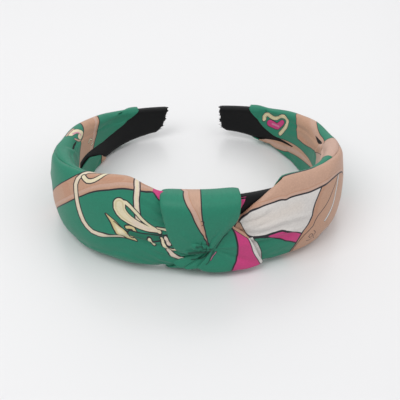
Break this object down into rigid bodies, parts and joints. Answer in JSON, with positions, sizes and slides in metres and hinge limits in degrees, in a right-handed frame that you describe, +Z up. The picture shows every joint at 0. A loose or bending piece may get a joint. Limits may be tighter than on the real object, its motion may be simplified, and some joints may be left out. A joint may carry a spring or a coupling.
{
  "type": "knotted headband",
  "caption": "C-shaped padded hair band: a springy board in a black cover, dressed in printed satin sleeves with a strap knot at the crown.",
  "frame": {"origin": "middle of the whole in plan, on the surface the headband lies on", "axes": "+X to the wearer's left as seen from the knot side (right in a front view), +Y from the knot back to the open tips, +Z up, across the band, as it lies on a table"},
  "size_m": [0.1534, 0.1304, 0.0456],
  "materials": {
    "hoop_plastic": "matte moulded",
    "black_ribbon": "ribbed black ribbon",
    "printed_satin": "soft satin, green ground with a scarf-like print",
    "wadding": "soft white wadding",
    "thread": "twisted green thread"
  },
  "bodies": {
    "crown": {"core_crown": "hoop_plastic", "cover_crown": "black_ribbon", "sleeve_left_front": "printed_satin", "sleeve_right_front": "printed_satin", "wadding_left_front": "wadding", "wadding_right_front": "wadding", "knot_strap": "printed_satin", "knot_end_right": "printed_satin", "knot_end_left": "printed_satin", "strap_stitches": "thread"},
    "left_arm": {"core_arm_left": "hoop_plastic", "cover_arm_left": "black_ribbon", "sleeve_rear_left": "printed_satin", "wadding_rear_left": "wadding", "tip_wrap_left": "black_ribbon"},
    "right_arm": {"core_arm_right": "hoop_plastic", "cover_arm_right": "black_ribbon", "sleeve_rear_right": "printed_satin", "wadding_rear_right": "wadding", "tip_wrap_right": "black_ribbon"}
  },
  "joints": [
    {"name": "left_flex", "type": "hinge", "parent": "crown", "child": "left_arm", "pos_m": [-0.06255, -0.0394, 0.02132], "axis": [0, 0.0958, 0.9954], "range_deg": [0, 22], "stiffness_Nm_per_rad": 0.8},
    {"name": "right_flex", "type": "hinge", "parent": "crown", "child": "right_arm", "pos_m": [0.06255, -0.0394, 0.02132], "axis": [0, -0.0958, -0.9954], "range_deg": [0, 22], "stiffness_Nm_per_rad": 0.8}
  ]
}
